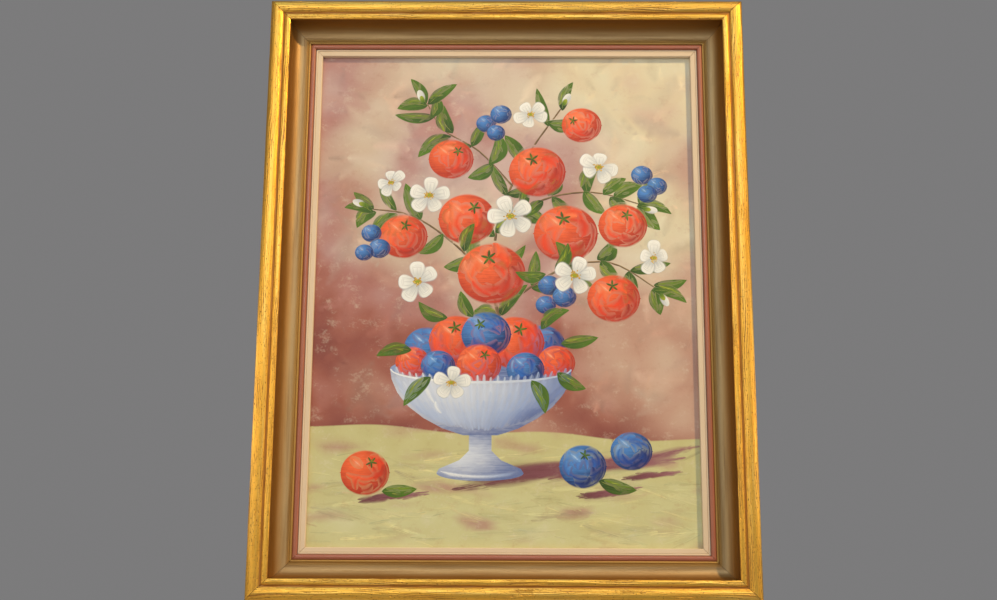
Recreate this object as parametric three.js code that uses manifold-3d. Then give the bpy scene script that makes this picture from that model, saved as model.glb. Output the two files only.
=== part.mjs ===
// Framed oil painting: a stretched canvas behind a cream slip in a deep scooped, gilded wooden frame.
//
// Millimetres, +Z up. The picture faces -Y and the wall it hangs on is the plane y = 0.
// The origin is on the hanger, in the middle of the face that lies against the wall.
//
// Every moulding is drawn as a section: w runs inwards from the frame's outer edge, and d runs
// backwards from the bottom of the groove in the frame's front.
import * as THREE from 'three';
import { mergeVertices } from 'three/addons/utils/BufferGeometryUtils.js';
import Module from 'manifold-3d';

// ---- Driving dimensions ----

const CANVAS = { width: 460, height: 610, cloth: 0.8, turnover: 18 };
const SIGHT_LAP = 5;        // how far the slip covers the canvas, all round
const GAP = 0.3;            // left between pieces that touch
const CURVE_STEPS = 8;      // half the straight steps in each curve of a moulding
const ROUND_SIDES = 16;     // sides of nails, screws and their holes

const FRAME = {
  shows: 53.6,              // width from the outer edge to the lip
  rabbetWall: 46.8,         // width from the outer edge to the rabbet
  rabbetSeat: 27,
  back: 51,
  sideStart: 4,             // behind this the outer side is flat
};
const OUTER_BEAD = { w: 8.2, d: 1.8, halfWidth: 8.2, height: 5, end: 326 };
const GROOVE = { w: 16.3, d: 1, end: 17.6 };
const INNER_BEAD = { w: 20.9, d: -0.3, halfWidth: 3.6, height: 1.6, start: 220 };
const COVE = { w: 39, d: 6.8, halfWidth: 14.5, depth: 16.5, end: 70 };
const FILLET = { w: 46, d: 22.8, halfWidth: 1.5, height: 0.8 };
const RED_BEAD = { w: 50.6, d: 23.8, halfWidth: 3, height: 1.8 };

const SLIP = {
  shows: 62,                // from the frame's outer edge to the picture
  outer: FRAME.rabbetWall + GAP,
  leg: 56.7,                // the slip's own rabbet starts here
  seat: 31.2,
  back: 38.5,
};
const SLIP_BEAD = { w: 55, d: 25.3, halfWidth: 1.1, height: 0.7 };
const SLIP_ROLL = { w: 61.2, d: 26.2, halfWidth: 0.8, height: 0.8 };

const STRETCHER = { bar: 44, thickness: 17, bevel: 2.5, land: 6 };

const PLATE = { length: 42, width: 12, thickness: 1, screwInset: 7, start: 30, spread: 170 };
const SCREW = { shank: 1.6, length: 14, head: 3.4, headHeight: 1.7 };
const HANGER = {
  height: 13, thickness: 1, rise: 3.6, bridge: 34, ramp: 4, tab: 10, teeth: 7, pitch: 4, tooth: 2.2,
  below: 20,                // from the frame's top edge to the hanger's middle
};
const NAIL = { shank: 0.9, length: 12, head: 2.2, headHeight: 0.8 };

const OUTER_W = CANVAS.width - 2 * SIGHT_LAP + 2 * SLIP.shows;
const OUTER_H = CANVAS.height - 2 * SIGHT_LAP + 2 * SLIP.shows;
const WALL_D = FRAME.back + HANGER.rise;                 // d of the wall plane
const CENTRE_Z = HANGER.below - OUTER_H / 2;             // height of the picture's middle
const CANVAS_FRONT = SLIP.seat + GAP;
const STRETCHER_FRONT = CANVAS_FRONT + CANVAS.cloth + GAP;

// ---- Finishes ----

const finish = (color, roughness, metalness) => new THREE.MeshStandardMaterial({ color, roughness, metalness });
const GILT = finish(0xc79a45, 0.42, 0.75);
const CREAM = finish(0xd9c29c, 0.6, 0);
const OIL_PAINT = finish(0xc9a79b, 0.5, 0);
const PINE = finish(0xc9a574, 0.75, 0);
const STEEL = finish(0x9a9a96, 0.45, 0.9);

// ---- Joining and cutting ----

const wasm = await Module();
wasm.setup();

/** A closed solid from a closed geometry. */
function solidOf(geometry) {
  const bare = geometry.clone();
  bare.deleteAttribute('normal');
  bare.deleteAttribute('uv');
  const merged = mergeVertices(bare, 1e-4);
  return new wasm.Manifold(new wasm.Mesh({
    numProp: 3,
    vertProperties: new Float32Array(merged.attributes.position.array),
    triVerts: new Uint32Array(merged.index.array),
  }));
}

/** The geometry of a solid. */
function geometryOf(solid) {
  const mesh = solid.getMesh();
  const geometry = new THREE.BufferGeometry();
  geometry.setAttribute('position', new THREE.BufferAttribute(mesh.vertProperties, 3));
  geometry.setIndex(new THREE.BufferAttribute(mesh.triVerts, 1));
  geometry.computeVertexNormals();
  return geometry;
}

/** The first geometry with all the others cut away. */
function cut(geometry, ...tools) {
  let solid = solidOf(geometry);
  for (const tool of tools) solid = solid.subtract(solidOf(tool));
  return geometryOf(solid);
}

/** A box between two values of x, y and z. */
function boxBetween(low, high) {
  const size = high.map((value, axis) => value - low[axis]);
  const middle = high.map((value, axis) => (value + low[axis]) / 2);
  return new THREE.BoxGeometry(...size).translate(...middle);
}

// ---- Sections ----

const radians = (degrees) => degrees * Math.PI / 180;

/** Adds the front of a bead, or a part of it, to a section. */
function bead(section, { w, d, halfWidth, height }, start = 180, end = 360) {
  section.absellipse(w, d, halfWidth, height, radians(start), radians(end), false, 0);
}

/** The gilded moulding: rough outer bead, groove, flat shoulder, deep cove, fillet and red bead. */
function frameSection() {
  const section = new THREE.Shape();
  section.moveTo(0, FRAME.back);
  section.lineTo(0, FRAME.sideStart);
  bead(section, OUTER_BEAD, 180, OUTER_BEAD.end);
  section.quadraticCurveTo(GROOVE.w, GROOVE.d, GROOVE.end, -GROOVE.d);
  bead(section, INNER_BEAD, INNER_BEAD.start);
  section.absellipse(
    COVE.w, COVE.d, COVE.halfWidth, COVE.depth, Math.PI, radians(COVE.end), true, 0);
  bead(section, FILLET);
  bead(section, RED_BEAD);
  section.lineTo(FRAME.shows, FRAME.rabbetSeat);
  section.lineTo(FRAME.rabbetWall, FRAME.rabbetSeat);
  section.lineTo(FRAME.rabbetWall, FRAME.back);
  return section;
}

/** The cream slip: a flange under the frame's lip, a fine bead, a quirk, a flat and a rounded edge. */
function slipSection() {
  const flange = FRAME.rabbetSeat + GAP;
  const quirk = SLIP_BEAD.w + SLIP_BEAD.halfWidth;
  const section = new THREE.Shape();
  section.moveTo(SLIP.outer, SLIP.back);
  section.lineTo(SLIP.outer, flange);
  section.lineTo(FRAME.shows + GAP, flange);
  bead(section, SLIP_BEAD);
  section.lineTo(quirk + 0.3, SLIP_BEAD.d + 0.5);
  section.lineTo(quirk + 0.7, SLIP_BEAD.d - 0.2);
  bead(section, SLIP_ROLL, 270);
  section.lineTo(SLIP.shows, SLIP.seat);
  section.lineTo(SLIP.leg, SLIP.seat);
  section.lineTo(SLIP.leg, SLIP.back);
  return section;
}

/** A stretcher bar: its front slopes away from the canvas behind a narrow outer land. */
function stretcherSection() {
  const { bar, thickness, bevel, land } = STRETCHER;
  const section = new THREE.Shape();
  section.moveTo(0, STRETCHER_FRONT + thickness);
  section.lineTo(0, STRETCHER_FRONT);
  section.lineTo(land, STRETCHER_FRONT);
  section.lineTo(bar, STRETCHER_FRONT + bevel);
  section.lineTo(bar, STRETCHER_FRONT + thickness);
  return section;
}

// ---- Pieces ----

/**
 * A length of moulding with mitred ends, lying along X with its outer edge at z = 0 and its
 * inner edge above it, so that the four sides differ only in length and in how they are turned.
 */
function mitredLength(section, outerLength) {
  const geometry = new THREE.ExtrudeGeometry(section, {
    depth: 1, steps: 1, bevelEnabled: false, curveSegments: CURVE_STEPS,
  });
  const slit = GAP / Math.SQRT2;
  const points = geometry.attributes.position;
  for (let i = 0; i < points.count; i++) {
    const w = points.getX(i);
    const d = points.getY(i);
    const end = points.getZ(i) < 0.5 ? 1 : -1;
    points.setXYZ(i, end * (outerLength / 2 - w - slit), d - WALL_D, w);
  }
  geometry.computeVertexNormals();
  return geometry;
}

/** A turned fastener that points into the frame's back, with its head's underside at y = seat. */
function fastener({ shank, length, head, headHeight }, seat) {
  const outline = [
    [0, -length], [shank * 0.35, -length], [shank, -length + 2.5 * shank], [shank, 0],
    [head, 0], [head, headHeight * 0.45], [head * 0.7, headHeight], [0, headHeight],
  ];
  const points = outline.map(([radius, along]) => new THREE.Vector2(radius, along));
  return new THREE.LatheGeometry(points, ROUND_SIDES).translate(0, seat, 0);
}

/** The hole that a fastener needs, between two values of y. */
function hole({ shank }, from, to) {
  const radius = shank + GAP;
  return new THREE.CylinderGeometry(radius, radius, to - from, ROUND_SIDES)
    .translate(0, (from + to) / 2, 0);
}

/** The canvas: the painted front, the four wrapped edges and the turned-over back margin. */
function canvas() {
  const { width, height, cloth, turnover } = CANVAS;
  const front = CANVAS_FRONT - WALL_D;
  const inside = front + cloth;
  const insideBack = inside + STRETCHER.thickness + 2 * GAP;
  const halfW = width / 2;
  const halfH = height / 2;
  const slab = boxBetween([-halfW, front, -halfH], [halfW, insideBack + cloth, halfH]);
  const cavity = boxBetween(
    [-halfW + cloth, inside, -halfH + cloth], [halfW - cloth, insideBack, halfH - cloth]);
  const window = boxBetween(
    [-halfW + turnover, inside + 1, -halfH + turnover],
    [halfW - turnover, insideBack + 2 * cloth, halfH - turnover]);
  return cut(slab, cavity, window);
}

/** The hanger: a steel strip bent up into a bridge whose lower edge is cut into teeth. */
function hanger() {
  const { height, thickness, rise, bridge, ramp, tab, teeth, pitch, tooth } = HANGER;
  const top = bridge / 2;
  const foot = top + ramp;
  const end = foot + tab;
  const low = thickness + GAP - rise;       // outer face of the tabs, seen from the wall plane
  const strip = new THREE.Shape();
  strip.moveTo(-end, low);
  strip.lineTo(-end, low - thickness);
  strip.lineTo(-foot + 0.4, low - thickness);
  strip.lineTo(-top + 0.4, -thickness);
  strip.lineTo(top - 0.4, -thickness);
  strip.lineTo(foot - 0.4, low - thickness);
  strip.lineTo(end, low - thickness);
  strip.lineTo(end, low);
  strip.lineTo(foot, low);
  strip.lineTo(top, 0);
  strip.lineTo(-top, 0);
  strip.lineTo(-foot, low);
  const bent = new THREE.ExtrudeGeometry(strip, { depth: height, bevelEnabled: false })
    .translate(0, 0, -height / 2);

  const notches = [];
  for (let i = 0; i < teeth; i++) {
    const notch = new THREE.Shape();
    notch.moveTo(-pitch / 2, 0);
    notch.lineTo(pitch / 2, 0);
    notch.lineTo(0, tooth);
    const prism = new THREE.ExtrudeGeometry(notch, { depth: 3 * rise, bevelEnabled: false })
      .rotateX(Math.PI / 2)
      .translate((i - (teeth - 1) / 2) * pitch, rise, -height / 2 - 0.01);
    notches.push(prism);
  }
  const nailHoles = [-1, 1].map((side) => hole(NAIL, -2 * rise, rise).translate(side * nailX, 0, 0));
  return cut(bent, ...notches, ...nailHoles);
}

/** A flat steel plate that spans from the frame's back onto the stretcher, along +X. */
function plate() {
  const { length, width, thickness, screwInset } = PLATE;
  const half = width / 2;
  const outline = new THREE.Shape();
  outline.absarc(half, 0, half, radians(90), radians(270), false);
  outline.absarc(length - half, 0, half, radians(-90), radians(90), false);
  const drilled = new THREE.Path();
  drilled.absarc(screwInset, 0, SCREW.shank + GAP, 0, 2 * Math.PI, true);
  outline.holes.push(drilled);
  return new THREE.ExtrudeGeometry(outline, { depth: thickness, bevelEnabled: false, curveSegments: 8 })
    .rotateX(Math.PI / 2);
}

// ---- Assembly ----

const painting = new THREE.Group();
painting.name = 'framed_oil_painting';
const picture = new THREE.Group();          // everything that is centred on the picture
picture.position.z = CENTRE_Z;
painting.add(picture);

/** Adds a named piece to a group and returns it, to be placed. */
function piece(group, name, geometry, material) {
  const mesh = new THREE.Mesh(geometry, material);
  mesh.name = name;
  group.add(mesh);
  return mesh;
}

const SIDES = [
  { side: 'bottom', turn: 0, long: false },
  { side: 'right', turn: -90, long: true },
  { side: 'top', turn: 180, long: false },
  { side: 'left', turn: 90, long: true },
];

/** Four mitred lengths around the picture, each cut by its own list of tools first. */
function surround(prefix, section, width, height, material, toolsOf = () => []) {
  for (const { side, turn, long } of SIDES) {
    const length = mitredLength(section, long ? height : width);
    const tools = toolsOf(side);
    const mesh = piece(picture, `${prefix}_${side}`, tools.length ? cut(length, ...tools) : length, material);
    const reach = (long ? width : height) / 2;
    mesh.rotation.y = radians(turn);
    mesh.position.set(-reach * Math.sin(radians(turn)), 0, -reach * Math.cos(radians(turn)));
  }
}

const frameBack = FRAME.back - WALL_D;
const nailX = HANGER.bridge / 2 + HANGER.ramp + HANGER.tab / 2;
const plateHeights = [-PLATE.spread, PLATE.spread];
const screwW = PLATE.start + PLATE.screwInset;

/** The pilot holes in the back of one side of the frame, in that side's own place before it is turned. */
function pilotHoles(side) {
  if (side === 'top') {
    const drill = hole(NAIL, frameBack - NAIL.length - 1, frameBack + 1);
    return [-nailX, nailX].map((x) => drill.clone().translate(x, 0, HANGER.below));
  }
  if (side === 'bottom') return [];
  const drill = hole(SCREW, frameBack - SCREW.length - 1, frameBack + 1);
  return plateHeights.map((x) => drill.clone().translate(x, 0, screwW));
}

surround('frame', frameSection(), OUTER_W, OUTER_H, GILT, pilotHoles);
surround('liner', slipSection(), OUTER_W, OUTER_H, CREAM);

piece(picture, 'canvas', canvas(), OIL_PAINT);
const inset = CANVAS.cloth + GAP;
surround('stretcher', stretcherSection(), CANVAS.width - 2 * inset, CANVAS.height - 2 * inset, PINE);

piece(painting, 'hanger', hanger(), STEEL);
const tabFace = frameBack + GAP + HANGER.thickness;
for (const [name, x] of [['left', -nailX], ['right', nailX]]) {
  const nail = piece(painting, `hanger_nail_${name}`, fastener(NAIL, tabFace + GAP), STEEL);
  nail.position.x = x;
}

const plateFace = frameBack + GAP + PLATE.thickness;
for (const [side, sign] of [['left', -1], ['right', 1]]) {
  for (const [level, z] of [['lower', -PLATE.spread], ['upper', PLATE.spread]]) {
    const bracket = piece(picture, `plate_${side}_${level}`, plate(), STEEL);
    bracket.rotation.y = sign < 0 ? 0 : Math.PI;
    bracket.position.set(sign * (OUTER_W / 2 - PLATE.start), plateFace, z);
    const screw = piece(picture, `screw_${side}_${level}`, fastener(SCREW, plateFace + GAP), STEEL);
    screw.position.set(sign * (OUTER_W / 2 - screwW), 0, z);
  }
}

export default painting;
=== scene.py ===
# %% [markdown]
# # A framed oil painting
#
# This lesson dresses the bare solids of a framed oil painting. The solids hold every size, so each piece
# here is made where its solid already is, in metres, with +Z up and the picture facing -Y.
# The order follows the workshop: light and camera, the gilded frame, the cream slip, the painting,
# then the plain wooden and steel pieces of the back.

# %% Load the solids
import math
import random

import bpy
import numpy as np
from mathutils import Matrix, Vector, noise
from mathutils.geometry import delaunay_2d_cdt


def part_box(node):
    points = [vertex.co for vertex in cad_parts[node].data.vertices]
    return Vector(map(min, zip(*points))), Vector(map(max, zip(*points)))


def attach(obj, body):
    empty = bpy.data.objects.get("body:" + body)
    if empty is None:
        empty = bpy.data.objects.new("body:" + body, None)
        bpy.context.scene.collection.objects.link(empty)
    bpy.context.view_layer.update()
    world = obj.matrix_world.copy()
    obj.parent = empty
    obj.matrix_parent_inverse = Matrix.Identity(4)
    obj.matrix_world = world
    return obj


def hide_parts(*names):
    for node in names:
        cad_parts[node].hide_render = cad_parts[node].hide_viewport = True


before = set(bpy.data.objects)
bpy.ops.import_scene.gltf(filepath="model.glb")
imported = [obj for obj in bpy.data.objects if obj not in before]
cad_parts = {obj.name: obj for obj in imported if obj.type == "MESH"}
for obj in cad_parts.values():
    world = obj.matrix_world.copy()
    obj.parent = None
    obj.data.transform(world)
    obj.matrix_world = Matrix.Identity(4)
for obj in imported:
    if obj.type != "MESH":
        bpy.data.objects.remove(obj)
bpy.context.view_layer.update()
bpy.ops.object.select_all(action="DESELECT")
MM = 0.001
print("solids:", len(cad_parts))

# %% [markdown]
# ## Where things are
#
# Everything is worked out from two boxes, the whole frame and the canvas. The picture's middle is the point
# that camera, lights and paint are placed from. Depths in a moulding are counted backwards from the
# groove in its front, as a joiner would draw them, so one number turns a depth into a place.

# %% Main places
frame_low, frame_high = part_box("frame_left")[0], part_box("frame_right")[1]
canvas_low, canvas_high = (Vector(corner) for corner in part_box("canvas"))
OUTER_WIDTH = frame_high[0] - frame_low[0]
OUTER_HEIGHT = frame_high[2] - frame_low[2]
middle = Vector((0, canvas_low.y, (frame_low[2] + frame_high[2]) / 2))
BACK_DEPTH = 51 * MM
groove_y = frame_high[1] - BACK_DEPTH
print(f"frame {OUTER_WIDTH:.3f} x {OUTER_HEIGHT:.3f} m, middle at z = {middle.z:.3f} m")

# %% [markdown]
# ## Camera and light
#
# The picture hangs a little above the eye, so the camera looks up at it. A small warm lamp at the upper right
# throws the frame's narrow shadows, as a spot in a saleroom would. Everything else comes from broad panels,
# cool in front and warmer at the sides, which also give the gold something to mirror, because a metal is
# only as bright as what it reflects. The Standard view keeps gold leaf and vermilion strong. AgX pales them.

# %% Camera
EYE = Vector((0.012, -1.802, -0.504))
LOOK_UP = math.radians(15.13)
LOOK_LEFT = math.radians(0.62)
LEAN = math.radians(0.32)

camera_data = bpy.data.cameras.new("camera")
camera_data.lens = 58.12
camera = bpy.data.objects.new("camera", camera_data)
bpy.context.collection.objects.link(camera)
aim = Matrix.Rotation(LOOK_LEFT, 4, "Z") @ Matrix.Rotation(math.pi / 2 + LOOK_UP, 4, "X")
camera.matrix_world = (
    Matrix.Translation(Vector((0, groove_y, middle.z)) + EYE) @ aim @ Matrix.Rotation(LEAN, 4, "Z")
)
bpy.context.scene.camera = camera
bpy.context.scene.view_settings.view_transform = "Standard"
print("camera at", tuple(round(value, 3) for value in camera.matrix_world.translation))


# %% Lights, floor and air
def panel_light(name, place, size, watts, colour):
    """An area light at a place counted from the picture's middle, which it faces."""
    data = bpy.data.lights.new(name, "AREA")
    data.shape = "RECTANGLE"
    data.size, data.size_y = size
    data.energy = watts
    data.color = colour
    lamp = bpy.data.objects.new(name, data)
    lamp.location = middle + Vector(place)
    lamp.rotation_euler = (-Vector(place)).to_track_quat("-Z", "Y").to_euler()
    lamp.visible_camera = False
    bpy.context.collection.objects.link(lamp)


panel_light("window_above", (-0.2, -1.5, 1.9), (2.2, 1.2), 10, (0.5, 0.76, 1))
panel_light("front_panel", (0, -2.1, 0.85), (1.3, 0.5), 7, (0.9, 0.95, 1))
panel_light("room_in_front", (0, -2.6, 0.1), (3.2, 2.2), 4, (0.65, 0.82, 1))
panel_light("left_panel", (-0.9, -1.7, 0.45), (1.0, 1.3), 4.4, (1, 0.84, 0.58))
panel_light("right_panel", (1.9, -0.8, 0.3), (0.8, 1.6), 2.2, (1, 0.84, 0.6))
panel_light("low_front", (0, -0.95, -1.05), (1.8, 0.4), 5, (0.6, 0.83, 1))
panel_light("under_edge", (0, -0.25, -0.9), (1.3, 0.3), 3, (1, 0.93, 0.8))
panel_light("left_edge", (-1.0, -0.25, 0), (1.2, 0.25), 2, (1, 0.88, 0.7))
panel_light("right_edge", (1.0, -0.25, 0), (1.2, 0.25), 1.5, (1, 0.88, 0.7))

spot = bpy.data.lights.new("warm_spot", "SPOT")
spot.energy = 270
spot.color = (1, 0.72, 0.34)
spot.shadow_soft_size = 0.07
spot.spot_size = math.radians(34)
spot.spot_blend = 0.4
warm_spot = bpy.data.objects.new("warm_spot", spot)
warm_spot.location = middle + Vector((1.82, -1.6, 2.02))
warm_spot.rotation_euler = (middle - warm_spot.location).to_track_quat("-Z", "Y").to_euler()
warm_spot.visible_camera = False
bpy.context.collection.objects.link(warm_spot)

bpy.ops.mesh.primitive_plane_add(size=9, location=(0, 0, frame_low[2] - 0.42))
floor = bpy.context.object
floor.name = "floor"

world = bpy.data.worlds.new("air")
world.use_nodes = True
world.node_tree.nodes["Background"].inputs["Color"].default_value = (0.2, 0.198, 0.2, 1)
bpy.context.scene.world = world

# %% [markdown]
# ## Writing a finish as a sum
#
# A shader is a chain of small nodes, and long chains are hard to read when each node takes four lines. So a
# socket is wrapped in a class that understands +, -, * and /: an expression such as `1 - wear * 0.5` then
# adds the Math nodes by itself. Every other node comes from one method, `add`.


# %% Wires and finishes
class Wire:
    """The value of one socket in a finish. Arithmetic on it adds Math nodes."""

    def __init__(self, finish, socket):
        self.finish = finish
        self.socket = socket

    def __add__(self, other):
        return self.finish.math("ADD", self, other)

    def __sub__(self, other):
        return self.finish.math("SUBTRACT", self, other)

    def __rsub__(self, other):
        return self.finish.math("SUBTRACT", other, self)

    def __mul__(self, other):
        return self.finish.math("MULTIPLY", self, other)

    def __truediv__(self, other):
        return self.finish.math("DIVIDE", self, other)

    __radd__ = __add__
    __rmul__ = __mul__


class Finish:
    """A material whose shader is written as expressions."""

    def __init__(self, name, **constants):
        self.material = bpy.data.materials.new(name)
        self.material.use_nodes = True
        self.tree = self.material.node_tree
        self.shader = self.tree.nodes["Principled BSDF"]
        for name, value in constants.items():
            self.shader.inputs[name.replace("_", " ")].default_value = value

    def plug(self, socket, value):
        if isinstance(value, Wire):
            self.tree.links.new(value.socket, socket)
        else:
            socket.default_value = value

    def add(self, kind, inputs, output=0, **settings):
        """A node of this kind: its settings first, then its sockets' values or wires."""
        node = self.tree.nodes.new("ShaderNode" + kind)
        for name, value in settings.items():
            setattr(node, name, value)
        for key, value in inputs.items():
            self.plug(node.inputs[key], value)
        return Wire(self, node.outputs[output])

    def math(self, operation, *values):
        return self.add("Math", dict(enumerate(values)), operation=operation)

    def mix(self, share, first, second):
        """One colour turning into another as share goes from 0 to 1."""
        return self.add("Mix", {0: share, 6: first, 7: second}, output=2, data_type="RGBA")

    def ramp(self, value, low, high):
        """0 below low and 1 above high, with a soft step between."""
        inputs = {"Value": value, "From Min": low, "From Max": high}
        return self.add("MapRange", inputs, interpolation_type="SMOOTHSTEP")

    def split(self, vector):
        node = self.add("SeparateXYZ", {0: vector}).socket.node
        return [Wire(self, socket) for socket in node.outputs]

    def stretch(self, vector, scales):
        return self.add("VectorMath", {0: vector, 1: scales}, operation="MULTIPLY")

    def noise(self, vector, scales, detail=2.0, roughness=0.5):
        """Smooth noise from 0 to 1. A larger scale on an axis makes it change faster along that axis."""
        inputs = {"Vector": self.stretch(vector, scales), "Scale": 1.0, "Detail": detail, "Roughness": roughness}
        return self.add("TexNoise", inputs)

    def attribute(self, name, output="Vector"):
        return self.add("Attribute", {}, output=output, attribute_name=name)

    def place(self):
        return self.add("TexCoord", {}, output="Object")

    def bump(self, height, depth, strength=1.0):
        """A normal for relief that is depth metres high where height goes from 0 to 1."""
        return self.add("Bump", {"Strength": strength, "Distance": depth, "Height": height})

    def wear(self, **inputs):
        """Plugs the finished values into the shader and gives the material."""
        for name, value in inputs.items():
            self.plug(self.shader.inputs[name.replace("_", " ")], value)
        return self.material


def pigment(code):
    """A colour as the shader wants it, from the six hex digits that a paint chart gives."""
    shown = [int(code[i : i + 2], 16) / 255 for i in (0, 2, 4)]
    return tuple(c / 12.92 if c <= 0.04045 else ((c + 0.055) / 1.055) ** 2.4 for c in shown) + (1,)


floor_finish = Finish("pale_floor", Roughness=0.9)
floor_grain = floor_finish.noise(floor_finish.place(), (3, 3, 3), detail=4)
floor.data.materials.append(
    floor_finish.wear(Base_Color=floor_finish.mix(floor_grain, pigment("c9ccd0"), pigment("d4d7da")))
)

# %% [markdown]
# ## The moulding's section
#
# A frame is sawn from one long moulding, so one section gives all four sides. From the outside inwards it
# has a broad bead and a flat shoulder that are gilded, a deep bronzed scoop, a low fillet and a
# small red bead against the slip. A round stretch is a piece of an ellipse, written as its middle, its
# two radii and the angles it runs between. All its numbers are millimetres: first how far inwards from the
# outer edge, then how far back from the groove.


# %% Drawing a section
def arc(w, d, half_width, height, start, end, steps):
    """Points along part of an ellipse; angles in degrees, 270 being where the second number is least."""
    angles = [math.radians(start + (end - start) * i / steps) for i in range(steps + 1)]
    return [(w + half_width * math.cos(t), d + height * math.sin(t)) for t in angles]


def bow(start, pull, end, steps):
    """Points along a smooth bow from start to end, pulled towards a third point."""
    points = []
    for i in range(1, steps):
        t = i / steps
        points.append(
            tuple((1 - t) ** 2 * a + 2 * t * (1 - t) * b + t * t * c for a, b, c in zip(start, pull, end))
        )
    return points


def straight(start, end, steps):
    """Points between two corners, without the corners themselves."""
    return [tuple(a + (b - a) * i / steps for a, b in zip(start, end)) for i in range(1, steps)]


LIP = 53.6
LIP_BACK = 27
RABBET = 46.8
BACK = BACK_DEPTH / MM
GROOVE = 16.3
WALL, WALL_TOP, WALL_FOOT = 24.5, -0.3, 6.8
outer_bead = arc(8.2, 1.8, 8.2, 5, 180, 326, 34)
shoulder = arc(20.9, WALL_TOP, 3.6, 1.6, 220, 360, 18)
scoop = straight((WALL, WALL_TOP), (WALL, WALL_FOOT), 6) + arc(39, WALL_FOOT, 14.5, 16.5, 180, 70, 26)
fillet = arc(46, 22.8, 1.5, 0.8, 180, 360, 8)
red_bead = arc(50.6, 23.8, 3, 1.8, 180, 360, 12)
frame_section = (
    [(0, BACK)]
    + straight((0, BACK), (0, 4), 8)
    + outer_bead
    + bow(outer_bead[-1], (GROOVE, 1), shoulder[0], 8)
    + shoulder
    + scoop
    + fillet
    + red_bead
    + [(LIP, LIP_BACK), (RABBET, LIP_BACK)]
    + straight((RABBET, LIP_BACK), (RABBET, BACK), 4)
    + [(RABBET, BACK)]
    + straight((RABBET, BACK), (0, BACK), 5)
)

SIGHT, SIGHT_TOP, SIGHT_FOOT = 62, 26.2, 31.2
FLANGE, FLANGE_TOP = 47.1, 27.3
SLIP_BACK = 38.5
QUIRK = 56.25
FLAT, FLAT_TOP = 56.5, 25.1
slip_section = (
    [(FLANGE, SLIP_BACK), (FLANGE, FLANGE_TOP), (53.9, FLANGE_TOP)]
    + arc(55, 25.3, 1.1, 0.7, 180, 360, 8)
    + [(QUIRK, 25.45), (FLAT, FLAT_TOP)]
    + straight((FLAT, FLAT_TOP), (61.2, 25.4), 5)
    + arc(61.2, SIGHT_TOP, 0.8, 0.8, 270, 360, 5)
    + straight((SIGHT, SIGHT_TOP), (SIGHT, SIGHT_FOOT), 4)
    + [(SIGHT, SIGHT_FOOT), (56.7, SIGHT_FOOT), (56.7, SLIP_BACK)]
)
print("points in the sections:", len(frame_section), "and", len(slip_section))

# %% [markdown]
# ## Sawing the four lengths
#
# A ring of vertices is laid on the section, extruded into a thin slice, and an Array modifier stacks
# slices into a length, which is how a plane cuts a moulding stroke by stroke. The ends are then sawn at 45
# degrees with Bisect. Every vertex keeps a note of where it is along and around the moulding, because
# grain, brush marks and gold follow the wood and not the room.

# %% A mitred length
SAW_GAP = 0.3 * MM / math.sqrt(2)
SLICE = 1.7 * MM
SLIP_SLICE = 6 * MM
NEAR_ENOUGH = 1e-5


def store(mesh, name, values, domain="POINT"):
    """Keeps one vector for each vertex or corner as a named attribute."""
    layer = mesh.attributes.new(name, "FLOAT_VECTOR", domain)
    layer.data.foreach_set("vector", np.asarray(values, dtype=np.float32).ravel())


def places(mesh):
    found = np.empty(len(mesh.vertices) * 3, dtype=np.float32)
    mesh.vertices.foreach_get("co", found)
    return found.reshape(-1, 3)


def apply_modifiers(piece):
    bpy.context.view_layer.objects.active = piece
    for modifier in list(piece.modifiers):
        bpy.ops.object.modifier_apply(modifier=modifier.name)


def mitred_length(name, section, outer_length, slice_length):
    """A length of moulding along X, with its outer edge at z = 0 and its groove at y = 0."""
    bpy.ops.mesh.primitive_circle_add(vertices=len(section))
    piece = bpy.context.object
    piece.name = name
    round_way = 0.0
    notes = []
    last = section[0]
    for vertex, point in zip(piece.data.vertices, section):
        round_way += math.dist(last, point) * MM
        last = point
        vertex.co = (0, point[1] * MM, point[0] * MM)
        notes.append((0, round_way, point[0] * MM))
    store(piece.data, "grain", notes)

    bpy.ops.object.mode_set(mode="EDIT")
    bpy.ops.mesh.select_all(action="SELECT")
    bpy.ops.mesh.extrude_region_move(TRANSFORM_OT_translate={"value": (slice_length, 0, 0)})
    bpy.ops.object.mode_set(mode="OBJECT")
    stack = piece.modifiers.new("stack", "ARRAY")
    stack.count = math.ceil(outer_length / slice_length)
    stack_length = stack.count * slice_length
    stack.use_relative_offset = False
    stack.use_constant_offset = True
    stack.constant_offset_displace = (slice_length, 0, 0)
    stack.use_merge_vertices = True
    stack.merge_threshold = NEAR_ENOUGH
    apply_modifiers(piece)

    half = outer_length / 2 - SAW_GAP
    bpy.ops.object.mode_set(mode="EDIT")
    bpy.ops.mesh.select_all(action="SELECT")
    bpy.ops.transform.translate(value=(-stack_length / 2, 0, 0))
    for way in (1, -1):
        bpy.ops.mesh.select_all(action="SELECT")
        bpy.ops.mesh.bisect(
            plane_co=(way * half, 0, 0), plane_no=(way, 0, 1), use_fill=True, clear_outer=True, threshold=1e-6
        )
    bpy.ops.mesh.select_all(action="SELECT")
    bpy.ops.mesh.normals_make_consistent(inside=False)
    bpy.ops.object.mode_set(mode="OBJECT")
    return piece


# %% Turn a length into its side of the frame
SIDES = {"bottom": 0, "right": -90, "top": 180, "left": 90}


def stand_on_side(piece, side):
    """Turns a length that lies as the bottom side into its own side, and leaves its object unturned."""
    angle = math.radians(SIDES[side])
    reach = (OUTER_WIDTH if side in ("left", "right") else OUTER_HEIGHT) / 2
    place = Vector((-reach * math.sin(angle), groove_y, middle.z - reach * math.cos(angle)))
    piece.data.transform(Matrix.Translation(place) @ Matrix.Rotation(angle, 4, "Y"))
    piece.data.update()


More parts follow.
